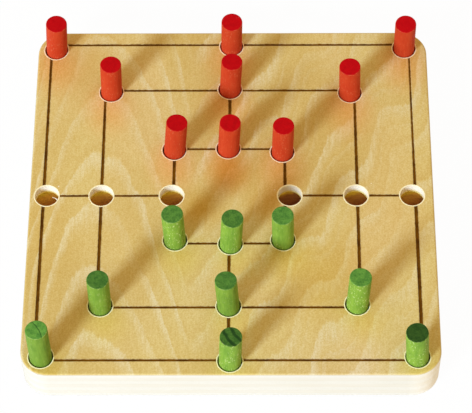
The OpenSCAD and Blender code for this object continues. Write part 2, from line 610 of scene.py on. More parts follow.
@dataclass(frozen=True)
class FlameFigure:
    """The year rings that the knife cut through: steep arches on the left, ragged flights on the right."""

    year: float = 26.0 * MM
    first: float = 0.83
    crown: float = -51.0 * MM
    left_steepness: float = 130.0
    right_steepness: float = 70.0
    valley_height: float = 62.0 * MM
    valley_slope: float = 1.75
    valley_width: float = 14.0 * MM
    step: float = 5.0 * MM
    step_length: float = 24.0 * MM
    step_slant: float = 0.25
    steps_from: Span = (-15.0 * MM, 20.0 * MM)

    def rings(self, place: Wire) -> tuple[Wire, Wire, Wire]:
        """Counts the year rings over the face.

        Args:
            place: Object coordinates.

        Returns:
            The ring's number, the share of the year that has passed there, which ends at the ring's outer
            edge, and how far the place is from the valley between the arches and the flights.
        """
        wiring = place.wiring
        flat = place.stretched(*FLAT)
        x, y, _ = flat.parts()
        off = x - self.crown + flat.stretched(0.2, 1.0, 1.0).waver(18.0, 5.0 * MM)
        right = wiring.math("GREATER_THAN", off, 0.0)
        arch = off * off * right.between(self.left_steepness, self.right_steepness)
        slope = x * -self.valley_slope + self.valley_height
        steps = wiring.math("SINE", (y * self.step_slant + x) * (math.tau / self.step_length))
        steps = steps * self.step * x.rise(*self.steps_from)
        height = y + wiring.math("SMOOTH_MIN", arch, slope, self.valley_width) + steps
        # broad waves, then ragged edges, then single fibres
        height += flat.waver(32.0, 9.0 * MM)
        height += flat.stretched(1.0, 0.3, 1.0).waver(130.0, 5.0 * MM, 2.0)
        height += flat.stretched(1.0, 0.2, 1.0).waver(900.0, 2.2 * MM)
        count = wiring.math("DIVIDE", height, self.year) - self.first
        return wiring.math("FLOOR", count), wiring.math("FRACT", count), abs(arch - slope)


@dataclass(frozen=True)
class Patch:
    """A soft patch of the veneer that is paler or deeper than the rest, in its own tone, in painted light or in
    painted shade.
    """

    middle: Three
    reach: float
    tint: Colour

    def on(self, colour: Wire, place: Wire) -> Wire:
        """Tints a colour as much as the patch does at a place."""
        off = place.wiring.vector("DISTANCE", place.stretched(*FLAT), self.middle)
        return colour.multiplied(self.tint, off.fall(0.0, self.reach))


@dataclass(frozen=True)
class LacqueredFace:
    """The face veneer: rotary-cut birch under a thin lacquer, with the lines burnt into it."""

    edge: CutEdge
    lines: LinePattern = LinePattern()
    flames: FlameFigure = FlameFigure()
    gold: Colour = (0.71, 0.555, 0.22)
    amber: Colour = (0.635, 0.45, 0.145)
    streak: Colour = (0.77, 0.67, 0.4)
    blush: Colour = (0.74, 0.535, 0.24)
    char: Colour = (0.075, 0.024, 0.0002)
    scorch_and_floor_shade: Colour = (0.18, 0.068, 0.0008)
    year_seed: float = 4.0
    early_rise: Span = (0.52, 0.92)
    early_fall: Span = (0.93, 1.0)
    late_rise: Span = (0.3, 0.46)
    late_fall: Span = (0.47, 0.5)
    late_from: Span = (-20.0 * MM, 10.0 * MM)
    late_share: float = 0.35
    off_valley: Span = (-8.0 * MM, 34.0 * MM)
    clear: Cloud = Cloud(38.0, 0.25, 0.55, stretch=(1.0, 0.5, 0.0), detail=1.0)
    feather: Cloud = Cloud(800.0, 0.3, 0.6, stretch=(1.0, 0.1, 0.0), detail=1.0)
    golden: Cloud = Cloud(22.0, 0.36, 0.62, stretch=(1.0, 0.5, 0.0), rough=0.45)
    pinkish: Cloud = Cloud(27.0, 0.5, 0.72, stretch=(1.0, 0.4, 0.0), detail=1.0)
    grit: Cloud = Cloud(2100.0, rough=0.6)
    heat: Cloud = Cloud(130.0, detail=3.0, rough=0.7)
    grain_tone: Colour = (0.14, 0.22, 0.47)
    dust: Specks = Specks(9.0 * MM, 0.045, 0.8)
    dust_tint: Colour = (0.95, 0.88, 0.7)
    pits: Specks = Specks(13.0 * MM, 0.022, 0.6)
    pit_tint: Colour = (0.22, 0.1, 0.03)
    # painted light: the red and green pegs reflect their colour on to the face before them
    reflected_peg_light: tuple[ReflectedPegLight, ...] = (
        ReflectedPegLight(Stain.RED, (1.07, 0.82, 0.7), 12.0 * MM, 17.0 * MM, -0.5 * MM, -7.5 * MM),
        ReflectedPegLight(Stain.GREEN, (1.01, 1.0, 0.7), 12.0 * MM, 14.0 * MM, 2.0 * MM, -6.0 * MM),
    )
    tone_and_light_patches: tuple[Patch, ...] = (
        Patch((-0.045, -0.05, 0.0), 34.0 * MM, (1.07, 1.1, 1.28)),
        Patch((-0.039, -0.02, 0.0), 27.0 * MM, (1.08, 1.11, 1.25)),
        Patch((-0.075, -0.01, 0.0), 34.0 * MM, (1.04, 1.05, 1.08)),
        Patch((0.034, -0.035, 0.0), 30.0 * MM, (0.95, 0.86, 0.62)),
        # painted light from the red pegs, on the back left
        Patch((-0.058, 0.06, 0.0), 26.0 * MM, (0.95, 0.84, 0.68)),
        Patch((0.068, 0.0, 0.0), 34.0 * MM, (0.98, 0.95, 0.88)),
        Patch((0.04, -0.078, 0.0), 34.0 * MM, (1.04, 1.06, 1.32)),
        # painted shade: dark orange cores where the pegs' shadows meet the light that the red pegs reflect
        Patch((-0.011, -0.006, 0.0), 13.0 * MM, (0.9, 0.74, 0.4)),
        Patch((0.0, 0.01, 0.0), 12.0 * MM, (0.95, 0.8, 0.52)),
        Patch((0.013, -0.004, 0.0), 12.0 * MM, (0.95, 0.8, 0.55)),
    )
    charred: Span = (0.4 * MM, 0.66 * MM)
    browned: Span = (0.5 * MM, 1.0 * MM)
    grooved: Span = (0.6 * MM, 0.8 * MM)
    groove_depth: float = 0.25 * MM
    level: Span = (0.22, 0.93)
    bare_roughness: float = 0.75
    relief: float = 0.012 * MM
    coat: Coat = Coat(roughness=0.45, specular=0.08, lacquer=0.06, lacquer_roughness=0.3)

    def flame(self, place: Wire) -> tuple[Wire, Wire]:
        """The pale flames, each of which ends in a sharp edge.

        Args:
            place: Object coordinates.

        Returns:
            How much of a flame there is, and the share of the year that has passed.
        """
        ring, share, valley = self.flames.rings(place)
        noises = {"W": ring + self.year_seed}
        year = place.wiring.node("TexWhiteNoise", noises, noise_dimensions="1D")["Value"]
        strength = year.between(0.6, 1.0) * self.clear.over(place) * valley.rise(*self.off_valley)
        strength *= self.feather.over(place).between(0.5, 1.0)
        early = share.rise(*self.early_rise) * share.fall(*self.early_fall)
        # a weaker ring halfway through the year, on the right
        late = share.rise(*self.late_rise) * share.fall(*self.late_fall)
        late *= place.parts()[0].rise(*self.late_from)
        return (late * self.late_share + early) * strength, share

    def figure(self, place: Wire) -> tuple[Wire, Wire]:
        """The veneer's figure: flames, soft tones and patches of painted light and shade, under the pegs' painted
        light, fibres and a little dust.

        Args:
            place: Object coordinates.

        Returns:
            The colour and the relief.
        """
        wiring = place.wiring
        flame, share = self.flame(place)
        deep = wiring.math("MAXIMUM", 1.0 - self.golden.over(place), share.fall(0.0, 0.3) * 0.45)
        colour = deep.colour(self.gold, self.amber)
        colour = (self.pinkish.over(place) * 0.5).colour(colour, self.blush)
        colour = (flame * 0.8).colour(colour, self.streak)
        for patch in self.tone_and_light_patches:
            colour = patch.on(colour, place)
        # painted light reflected from the pegs
        for tinge in self.reflected_peg_light:
            colour = tinge.on(colour, place, self.edge.holes)
        streak = fibres(place, 1500.0, (1.0, 0.15, 1.0))["Streak"]
        colour = colour.tinted(streak * 0.4 + self.grit.over(place) - 0.7, self.grain_tone)
        colour = self.dust.over(place).colour(colour, self.dust_tint)
        elsewhere = wiring.vector("ADD", place, (0.5, 0.2, 0.0))
        return self.pits.over(elsewhere).colour(colour, self.pit_tint), streak

    def material(self) -> bpy.types.Material:
        """The face's figure on top, the burnt lines in it, and bare wood round its edges and in its holes.

        Returns:
            The material.
        """
        made, wiring = new_material("lacquered_face_veneer")
        coordinates = wiring.node("TexCoord")
        place, facing = coordinates["Object"], coordinates["Normal"]
        top, relief = self.figure(place)
        off = self.lines.distance(place) + place.waver(700.0, 0.2 * MM, 3.0)
        burnt = off.fall(*self.charred)
        top = (off.fall(*self.browned) * 0.25).colour(top, self.scorch_and_floor_shade)
        top = burnt.colour(top, self.heat.over(place).colour(self.char, self.scorch_and_floor_shade))
        # bare wood wherever the surface turns away from the face, apart from the burnt grooves
        bare, bare_relief = self.edge.bare(place, facing)
        high = wiring.math("GREATER_THAN", place.parts()[2], self.edge.top - self.groove_depth)
        groove = off.fall(*self.grooved) * high
        bared = 1.0 - wiring.math("MAXIMUM", facing.parts()[2].rise(*self.level), groove)
        unlacquered = wiring.math("MAXIMUM", bared, burnt)
        over = {
            "Roughness": unlacquered.between(self.coat.roughness, self.bare_roughness),
            "Coat Weight": unlacquered.between(self.coat.lacquer, 0.0),
        }
        self.coat.close(bared.colour(top, bare), bared.between(relief, bare_relief), self.relief, over)
        return made


@dataclass(frozen=True)
class RawRim:
    """The bare, fuzzy wood that the drill raised round a hole, and the splinter it left in one."""

    pale: Colour = (0.99, 0.95, 0.85)
    dark: Colour = (0.96, 0.88, 0.7)
    fineness: float = 2400.0
    relief: float = 0.03 * MM
    coat: Coat = Coat(roughness=0.7)

    def material(self) -> bpy.types.Material:
        """Pale bare wood with loose fibres, tinted by the painted light that its peg reflects, which the attribute
        holds.

        Returns:
            The material.
        """
        made, wiring = new_material("raised_rim")
        wood = fibres(wiring.node("TexCoord")["Object"], self.fineness)
        colour = wood["Streak"].colour(self.dark, self.pale).multiplied(wiring.attribute("rubbed_stain"))
        self.coat.close(colour, wood["Fleck"], self.relief)
        return made


@dataclass(frozen=True)
class DrilledFloor:
    """A hole's floor: wood scored in rings by the drill, with painted shade towards the front and painted light
    along the lit back wall.
    """

    lit_olive: Colour = (0.56, 0.285, 0.034)
    back_wall_light: Colour = (0.22, 0.7, 0.35)
    shaded_brown: Colour = (0.33, 0.115, 0.014)
    scorch_and_floor_shade: Colour = (-0.6, -0.72, -0.3)
    grain_tone: Colour = (0.25, 0.3, 0.3)
    ring_tone: Colour = (-0.12, -0.15, -0.15)
    ring_apart: float = 0.5 * MM
    backwards: Three = (-0.35, 0.94, 0.0)
    reach: float = 4.5 * MM
    relief: float = 0.03 * MM
    coat: Coat = Coat(roughness=0.6, specular=0.05)

    def material(self) -> bpy.types.Material:
        """Wood with rings, painted lighter towards the back wall and darker towards the front; the attribute holds
        the way from the hole's middle and how much painted shade darkens the floor.

        Returns:
            The material.
        """
        made, wiring = new_material("drilled_floor")
        place, middle = wiring.node("TexCoord")["Object"], wiring.attribute("from_middle")
        out = wiring.vector("LENGTH", middle.stretched(*FLAT))
        rings = wiring.math("SINE", out * (math.tau / self.ring_apart)) * 0.5 + 0.5
        streak = fibres(place, 1500.0, (0.2, 1.0, 1.0))["Streak"]
        behind = wiring.vector("DOT_PRODUCT", middle, self.backwards) + place.waver(300.0, 0.8 * MM, 3.0)
        # painted light and shade: the floor is darker towards the front and lighter towards the back wall
        share = behind.rise(-0.35 * self.reach, 0.75 * self.reach)
        # painted light: the wood along the back wall is lighter, as if lit by that wall, and gets little of the
        # painted shade
        edge = behind.rise(0.55 * self.reach, self.reach)
        colour = share.colour(self.shaded_brown, self.lit_olive).tinted(edge, self.back_wall_light)
        colour = colour.tinted(streak - 0.5, self.grain_tone).tinted(rings, self.ring_tone)
        # painted shade, deeper in some holes than in others
        colour = colour.tinted(middle.parts()[2] * (1.0 - edge), self.scorch_and_floor_shade)
        self.coat.close(colour, rings, self.relief)
        return made


@dataclass(frozen=True)
class StainedDowel:
    """A stained peg: pale flecked sides, and ends that drank in more of the stain."""

    name: str
    side_pale: Colour
    side_deep: Colour
    fleck: Colour
    end_pale: Colour
    end_deep: Colour
    split: Colour
    cloud: Cloud = Cloud(260.0, stretch=(1.0, 1.0, 0.5))
    flecked: Cloud = Cloud(330.0, 0.35, 0.6, detail=1.0)
    blotch: Cloud = Cloud(600.0, 0.35, 0.65)
    wear_and_highlight: Cloud = Cloud(900.0, 0.42, 0.65)
    dust: Specks = Specks(3.5 * MM, 0.05, 0.6)
    pith: float = 14.0 * MM
    year: float = 2.9 * MM
    split_aside: float = 0.9 * MM
    split_slant: float = 0.55
    split_bend: float = 60.0
    relief: float = 0.03 * MM
    coat: Coat = Coat(roughness=0.6, specular=0.06, velvet=0.3)

    def side(self, moved: Wire, fuzz: Wire) -> tuple[Wire, Wire]:
        """The side grain, along the peg.

        Args:
            moved: The place in the peg, moved aside by its seed.
            fuzz: How flecked the peg is.

        Returns:
            The colour and the relief.
        """
        streak = fibres(moved, 1500.0, (1.0, 1.0, 0.12))["Streak"]
        fleck = fibres(moved, 1500.0, (1.0, 1.0, 0.5))["Fleck"]
        colour = (streak * 0.5 + self.cloud.over(moved) * 0.5).colour(self.side_deep, self.side_pale)
        return (fleck * self.flecked.over(moved) * fuzz).colour(colour, self.fleck), streak

    def ends(self, place: Wire, moved: Wire, marks: Wire, turn: Wire) -> tuple[Wire, Wire]:
        """The end grain: pores, year rings that show on some pegs, and a split that shows on one.

        Args:
            place: The place in the peg.
            moved: The same, moved aside by the peg's seed.
            marks: How much the year rings, the split and the flecks show.
            turn: The way to the pith, as an angle.

        Returns:
            The colour and the relief.
        """
        wiring = place.wiring
        rings, split, _ = marks.parts()
        x, y, _ = place.parts()
        from_x = wiring.math("COSINE", turn) * -self.pith + x
        from_y = wiring.math("SINE", turn) * -self.pith + y
        out = wiring.vector("LENGTH", wiring.node("CombineXYZ", {0: from_x, 1: from_y})[0])
        out += moved.waver(450.0, 0.5 * MM, 2.0)
        years = wiring.math("SINE", out * (math.tau / self.year)).rise(-0.2, 0.9) * rings
        pores = moved.noise(2300.0, rough=0.7)
        share = (pores.rise(0.35, 0.65) + self.blotch.over(moved)) * 0.5
        colour = (years * 0.6).colour(share.colour(self.end_deep, self.end_pale), self.split)
        # the split runs from the back rim to the right rim
        beside = y * self.split_slant + x + y * y * self.split_bend - self.split_aside
        beside += place.waver(900.0, 0.15 * MM)
        crack = abs(beside).fall(0.1 * MM, 0.3 * MM) * split
        return (crack * 0.75).colour(colour, self.split), pores - crack

    def material(self) -> bpy.types.Material:
        """The stain on side grain and end grain, read from each peg's own attributes.

        Returns:
            The material.
        """
        made, wiring = new_material(self.name)
        place, marks = wiring.attribute("peg_place"), wiring.attribute("peg_marks")
        end = wiring.attribute("peg_end", "Fac")
        seed, side_tone, end_tone = wiring.attribute("peg_tones").parts()
        moved = wiring.vector("ADD", place, wiring.vector("MULTIPLY", seed, (3.1, 5.7, 0.9)))
        side, side_relief = self.side(moved, marks.parts()[2])
        ends, end_relief = self.ends(place, moved, marks, wiring.attribute("peg_turn", "Fac"))
        colour = end.colour(side, ends).tinted(end.between(side_tone, end_tone) - 1.0)
        # painted highlight and wear: the softened rims are paler in places
        wear_and_highlight = end * (1.0 - end) * 2.0 * self.wear_and_highlight.over(moved)
        colour = self.dust.over(moved).colour(wear_and_highlight.colour(colour, self.fleck), self.fleck)
        self.coat.close(colour, end.between(side_relief, end_relief), self.relief)
        return made


def meshed(name: str, shape: bmesh.types.BMesh) -> bpy.types.Mesh:
    """Makes a bmesh a mesh.

    Args:
        name: The mesh's name.
        shape: The shape, which is freed.

    Returns:
        The mesh.
    """
    mesh = bpy.data.meshes.new(name)
    shape.to_mesh(mesh)
    shape.free()
    return mesh


def linked(name: str, data: bpy.types.ID) -> bpy.types.Object:
    """Puts an object in the scene.

    Args:
        name: The object's name.
        data: Its mesh, light or camera.

    Returns:
        The object.
    """
    made = bpy.data.objects.new(name, data)
    bpy.context.scene.collection.objects.link(made)
    return made


def finished(
    name: str, shape: bmesh.types.BMesh, material: bpy.types.Material, body: str,
    smooth: bool = True
) -> bpy.types.Object:
    """Makes a bmesh a piece of the object, at the origin.

    Args:
        name: The piece's name.
        shape: The shape in the solids' frame, which is freed.
        material: Its finish.
        body: The body that it rides on.
        smooth: Whether its faces are shaded as one round surface.

    Returns:
        The object.
    """
    bmesh.ops.recalc_face_normals(shape, faces=shape.faces)
    for face in shape.faces:
        face.smooth = smooth
    mesh = meshed(name, shape)
    mesh.materials.append(material)
    made = linked(name, mesh)
    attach(made, body)
    log.info("%s: %d faces on %s", name, len(mesh.polygons), body)
    return made


def dress(node: str, material: bpy.types.Material) -> None:
    """Gives a solid its finish.

    Args:
        node: The solid's node.
        material: Its finish.
    """
    solid = frame["nodes"][node]
    if not solid.material_slots:
        solid.data.materials.append(material)
    for place in solid.material_slots:
        place.material = material
    log.info("%s: dressed in %s", node, material.name)


def round_block(sides: int, radius: float, height: float) -> bmesh.types.BMesh:
    """A plain round block that stands on the origin, to be modelled further.

    Args:
        sides: How many sides it has.
        radius: Its radius.
        height: Its height.

    Returns:
        The block.
    """
    shape = bmesh.new()
    bmesh.ops.create_circle(shape, cap_ends=True, segments=sides, radius=radius)
    raised = bmesh.ops.extrude_face_region(shape, geom=list(shape.faces))
    top = [part for part in raised["geom"] if isinstance(part, bmesh.types.BMVert)]
    bmesh.ops.translate(shape, vec=(0.0, 0.0, height), verts=top)
    return shape


def rise_of(edge: bmesh.types.BMEdge) -> float:
    """How far an edge rises from one end to the other."""
    return abs(edge.verts[0].co.z - edge.verts[1].co.z)


@dataclass(frozen=True)
class Character:
    """What sets one peg apart: the tones of its side and ends, and how plain its marks are."""

    side_tone: float = 1.0
    end_tone: float = 1.0
    rings: float = 0.12
    split: float = 0.0
    fuzz: float = 0.45
    turn: float = 0.0


@dataclass
class Peg:
    """One peg, standing where its solid stands."""

    node: str
    stain: Stain
    seed: float
    character: Character
    radius: float = 4.0 * MM
    length: float = 21.6 * MM
    ease: float = 0.3 * MM
    seat_gap: float = 0.05 * MM
    solid_ease: float = 0.25 * MM
    sides: int = 56
    cuts: int = 14
    end_rings: tuple[float, ...] = (0.06 * MM, 0.5 * MM, 0.6 * MM, 0.6 * MM, 0.6 * MM, 0.6 * MM)
    out_of_round: float = 0.03 * MM
    roughened: float = 0.01 * MM
    worn_off: float = 0.012 * MM
    sunk: float = 0.03 * MM
    sunk_within: float = 0.05 * MM
    slow_across: float = 160.0
    slow_along: float = 60.0
    quick: float = 900.0
    end_quick: float = 700.0

    def axis(self) -> Vector:
        """The way that the peg lifts out, along its own length."""
        joint = next(j for j in frame["joints"] if j["child"] == self.node)
        return Vector(joint["axis"]).normalized()

    def middle(self) -> Vector:
        """The middle of the peg's box, which is the solid's own because both its ends are alike."""
        low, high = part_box(self.node)
        return (low + high) / 2

    def hole(self, floor: float, depth: float) -> Vector:
        """The middle of the peg's hole, at the floor, from how the solid leans about it.

        Args:
            floor: The floor's height.
            depth: The hole's depth.

        Returns:
            The place.
        """
        axis, middle = self.axis(), self.middle()
        tilt = math.acos(min(1.0, axis.z))
        rise = self.seat_gap + (self.radius - self.solid_ease) * math.sin(tilt)
        up = floor + rise + depth / 2 - middle.z
        at = middle + axis * (up / axis.z)
        return Vector((at.x, at.y, floor))

    def build(self, material: bpy.types.Material) -> None:
        """Models the peg: a sawn and tumbled dowel, not quite round, with softened ends.

        Args:
            material: The stain.
        """
        shape = round_block(self.sides, self.radius, self.length)
        bmesh.ops.bevel(
            shape, geom=[edge for edge in shape.edges if rise_of(edge) < self.ease], offset=self.ease,
            offset_type="OFFSET", segments=3, profile=0.5, affect="EDGES", material=-1
        )
        upright = [edge for edge in shape.edges if rise_of(edge) > self.length / 2]
        bmesh.ops.subdivide_edges(shape, edges=upright, cuts=self.cuts, use_grid_fill=True)
        self.close_ends(shape)
        self.mark(shape)
        self.wear(shape)
        axis = self.axis()
        turned = Vector((0.0, 0.0, 1.0)).rotation_difference(axis).to_matrix().to_4x4()
        placed = Matrix.Translation(self.middle() - axis * (self.length / 2)) @ turned
        bmesh.ops.transform(shape, matrix=placed, verts=shape.verts)
        made = finished(self.node + "_turned", shape, material, self.node)
        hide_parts(self.node)

    def close_ends(self, shape: bmesh.types.BMesh) -> None:
        """Insets both ends in rings, the first one narrow, so that they stay flat beside their rims.

        Args:
            shape: The peg, upright on the origin.
        """
        for thickness in self.end_rings:
            bmesh.ops.inset_region(shape, faces=self.ends(shape), thickness=thickness, use_even_offset=True)
        bmesh.ops.poke(shape, faces=self.ends(shape))

    @staticmethod
    def ends(shape: bmesh.types.BMesh) -> list[bmesh.types.BMFace]:
        """The two ends of a peg, which have many more corners than its other faces."""
        return [face for face in shape.faces if len(face.verts) > 8]

    def mark(self, shape: bmesh.types.BMesh) -> None:
        """Writes what the stain reads: the place in the peg, its tones and marks, and where the ends are.

        Args:
            shape: The peg, upright on the origin.
        """
        vectors, numbers = shape.verts.layers.float_vector, shape.verts.layers.float
        place, tones, marks = (vectors.new(name) for name in ("peg_place", "peg_tones", "peg_marks"))
        end, turn = (numbers.new(name) for name in ("peg_end", "peg_turn"))
        own = self.character
        for vert in shape.verts:
            vert[place] = vert.co
            vert[tones] = (self.seed, own.side_tone, own.end_tone)
            vert[marks] = (own.rings, own.split, own.fuzz)
            vert[turn] = own.turn + self.seed * 23.0
            short = min(vert.co.z, self.length - vert.co.z)
            vert[end] = max(0.0, min(1.0, 1.0 - short / self.ease))

    def wear(self, shape: bmesh.types.BMesh) -> None:
        """Makes the peg a little out of round, and its ends a little uneven.

        Args:
            shape: The peg, upright on the origin.
        """
        aside = Vector((self.seed * 7.0, self.seed * 3.0, self.seed))
        for vert in shape.verts:
            out = Vector((vert.co.x, vert.co.y, 0.0))
            share = out.length / self.radius
            at = (out.x * self.slow_across, out.y * self.slow_across, vert.co.z * self.slow_along)
            slow = noise.noise(Vector(at) + aside)
            quick = noise.noise(vert.co * self.quick + aside)
            change = slow * self.out_of_round + quick * self.roughened - self.worn_off
            vert.co += out.normalized() * share * change
            if min(vert.co.z, self.length - vert.co.z) < self.sunk_within:
                sunk = self.sunk * (1 + noise.noise(vert.co * self.end_quick + aside)) * (1.0 - 0.6 * share)
                vert.co.z += sunk if vert.co.z < self.length / 2 else -sunk


@dataclass
class Holes:
    """The 24 blind holes: their raised rims, their drilled floors and the splinter in one."""

    radius: float = 4.5 * MM
    rim_inner: float = 4.4 * MM
    rim_width: float = 0.47 * MM
    rim_rise: float = 0.035 * MM
    rim_drop: float = 0.16 * MM
    rim_ragged: float = 0.12 * MM
    rim_uneven: float = 0.8
    rim_steps: int = 72
    ragged_scale: float = 1500.0
    ragged_apart: float = 3.7
    floor_sides: int = 64
    rim_profile: tuple[tuple[float, float], ...] = (
        (0.0, -1.0), (0.0, -0.3), (0.25, 0.8), (0.6, 1.0), (0.9, 0.5), (1.0, -0.1), (0.55, -1.0),
    )
    floor_play: float = 0.01 * MM
    floor_lift: float = 0.002 * MM
    floor_thick: float = 0.02 * MM
    splinter_from: Three = (3.95, -1.6, -0.4)
    splinter_to: Three = (2.3, 0.2, -0.6)
    splinter_long: float = 2.3 * MM
    splinter_thick: float = 0.22 * MM
    splinter_tip: float = 0.07 * MM
    splinter_flat: float = 0.45
    splinter_curl: float = 0.5 * MM
    splinter_wave: float = 0.1 * MM
    face: float = 0.0
    # how much painted shade darkens each empty hole's floor, from left to right
    empty_floor_shades: tuple[float, ...] = (0.08, 0.25, 0.35, 0.95, 0.65, 0.4)
    holes: list[Hole] = field(default_factory=list)

    def find(self, pegs: list[Peg]) -> None:
        """Finds every hole: the empty ones from left to right from the record's mounts, the others from pegs.

        Args:
            pegs: All the pegs.
        """
        self.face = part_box("face_ply")[1].z
        bores = [mount for mount in frame["record"]["mounts"] if mount["kind"] == "bore"]
        bores.sort(key=lambda mount: mount["pos_m"][0])
        for bore, floor_shade in zip(bores, self.empty_floor_shades, strict=True):
            x, y, z = bore["pos_m"]
            floor = z - bore["dims"]["length_mm"] * MM / 2
            self.holes.append(Hole(Vector((x, y, floor)), floor_shade=floor_shade))
        for peg in pegs:
            self.holes.append(Hole(peg.hole(floor, self.face - floor), peg.stain))

    def ring(self, number: int) -> bmesh.types.BMesh:
        """One hole's rim, about the origin: its profile spun round, then ragged in width and height.

        Args:
            number: The hole's number, which sets how its rim is ragged.

        Returns:
            The rim.
        """
        ring = bmesh.new()
        corners = []
        for out, up in self.rim_profile:
            high = up * (self.rim_rise if up > 0 else self.rim_drop)
            corners.append(ring.verts.new((self.rim_inner + out * self.rim_width, 0.0, high)))
        edges = [ring.edges.new(pair) for pair in zip(corners, corners[1:])]
        edges.append(ring.edges.new((corners[-1], corners[0])))
        bmesh.ops.spin(
            ring, geom=corners + edges, cent=(0, 0, 0), axis=(0, 0, 1), angle=math.tau, steps=self.rim_steps,
            use_merge=True
        )
        bmesh.ops.remove_doubles(ring, verts=ring.verts, dist=0.001 * MM)
        for vert in ring.verts:
            at = (vert.co.x * self.ragged_scale, vert.co.y * self.ragged_scale, number * self.ragged_apart)
            ragged = noise.noise(Vector(at))
            out = Vector((vert.co.x, vert.co.y, 0.0))
            share = (out.length - self.rim_inner) / self.rim_width
            vert.co += out.normalized() * share * ragged * self.rim_ragged
            if vert.co.z > 0:
                vert.co.z *= 1.0 + self.rim_uneven * ragged
        return ring

    def build_rims(self, material: bpy.types.Material) -> None:
        """The low burr of raised fibres round each hole's mouth, in one piece for all of them.

        Args:
            material: Bare wood.
        """
        whole = bmesh.new()
        for number, hole in enumerate(self.holes):
            ring = self.ring(number)
            # painted light from the hole's peg
            self.rub(ring, hole.tint())
            bmesh.ops.translate(ring, vec=(hole.middle.x, hole.middle.y, self.face), verts=ring.verts)
            self.gather(ring, whole)
        finished("hole_rims", whole, material, "board")

    def build_floors(self, material: bpy.types.Material) -> None:
        """A thin disc on each hole's floor that carries the drill's scoring, in one piece for all of them.

        Args:
            material: The drilled floor's finish.
        """
        whole = bmesh.new()
        for hole in self.holes:
            disc = round_block(self.floor_sides, self.radius - self.floor_play, self.floor_thick)
            layer = disc.verts.layers.float_vector.new("from_middle")
            for vert in disc.verts:
                vert[layer] = (vert.co.x, vert.co.y, hole.floor_shade)
            bmesh.ops.translate(disc, vec=hole.middle + Vector((0.0, 0.0, self.floor_lift)), verts=disc.verts)
            self.gather(disc, whole)
        finished("hole_floors", whole, material, "board", smooth=False)

    def build_splinter(self, material: bpy.types.Material) -> None:
        """The small curled splinter that the drill left at the front right of the leftmost empty hole.

        Args:
            material: Bare wood.
        """
        shape = bmesh.new()
        bmesh.ops.create_cone(
            shape, cap_ends=True, segments=8, radius1=self.splinter_thick, radius2=self.splinter_tip,
            depth=self.splinter_long
        )
        upright = [edge for edge in shape.edges if rise_of(edge) > 1.0 * MM]
        bmesh.ops.subdivide_edges(shape, edges=upright, cuts=8, use_grid_fill=True)
        for vert in shape.verts:
            along = vert.co.z / self.splinter_long + 0.5
            vert.co.y *= self.splinter_flat
            vert.co.x += self.splinter_curl * along * along
            vert.co.y += self.splinter_wave * math.sin(along * 5.0)
        start, end = Vector(self.splinter_from) * MM, Vector(self.splinter_to) * MM
        turned = (end - start).to_track_quat("Z", "Y").to_matrix().to_4x4()
        self.rub(shape, EVEN)
        at = self.holes[0].middle
        middle = Vector((at.x, at.y, self.face)) + (start + end) / 2
        bmesh.ops.transform(shape, matrix=Matrix.Translation(middle) @ turned, verts=shape.verts)
        finished("splinter", shape, material, "board")

    @staticmethod
    def rub(shape: bmesh.types.BMesh, tint: Colour) -> None:
        """Writes the painted light that bare wood reads.

        Args:
            shape: The shape.
            tint: The light that a peg reflects on it, painted into its colour.
        """
        stain = shape.verts.layers.float_vector.new("rubbed_stain")
        for vert in shape.verts:
            vert[stain] = tint

    @staticmethod
    def gather(part: bmesh.types.BMesh, whole: bmesh.types.BMesh) -> None:
        """Adds a part's shape to a whole.

        Args:
            part: The part, which is freed.
            whole: The whole.
        """
        mesh = meshed("part", part)
        whole.from_mesh(mesh)
        bpy.data.meshes.remove(mesh)


@dataclass
class Plywood:
    """The board's seven veneers, with their grain crossing by turns."""

    holes: tuple[Hole, ...]
    cores: int = 5
    long_pale: Colour = (0.72, 0.66, 0.57)
    long_dark: Colour = (0.695, 0.63, 0.52)
    foot_shade_height: float = 1.9 * MM

    def dress(self) -> None:
        """Dresses the face, the core veneers and the back."""
        low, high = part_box("face_ply")
        edge = CutEdge("face_edge", Grain.AWAY, 2 * low.z - high.z, high.z, self.holes)
        dress("face_ply", LacqueredFace(edge).material())
        for number in range(1, self.cores + 1):
            low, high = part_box(f"core_ply_{number}")
            veneer = CutEdge(f"core_veneer_{number}", Grain.AWAY, low.z, high.z)
            if number % 2:
                veneer = replace(veneer, grain=Grain.ACROSS, pale=self.long_pale, dark=self.long_dark)
            if number == 1:
                veneer = replace(veneer, holes=self.holes, foot_shade_height=self.foot_shade_height)
            dress(f"core_ply_{number}", veneer.material())
        low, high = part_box("back_ply")
        dress("back_ply", CutEdge("back_veneer", Grain.AWAY, low.z - high.z, high.z).material())


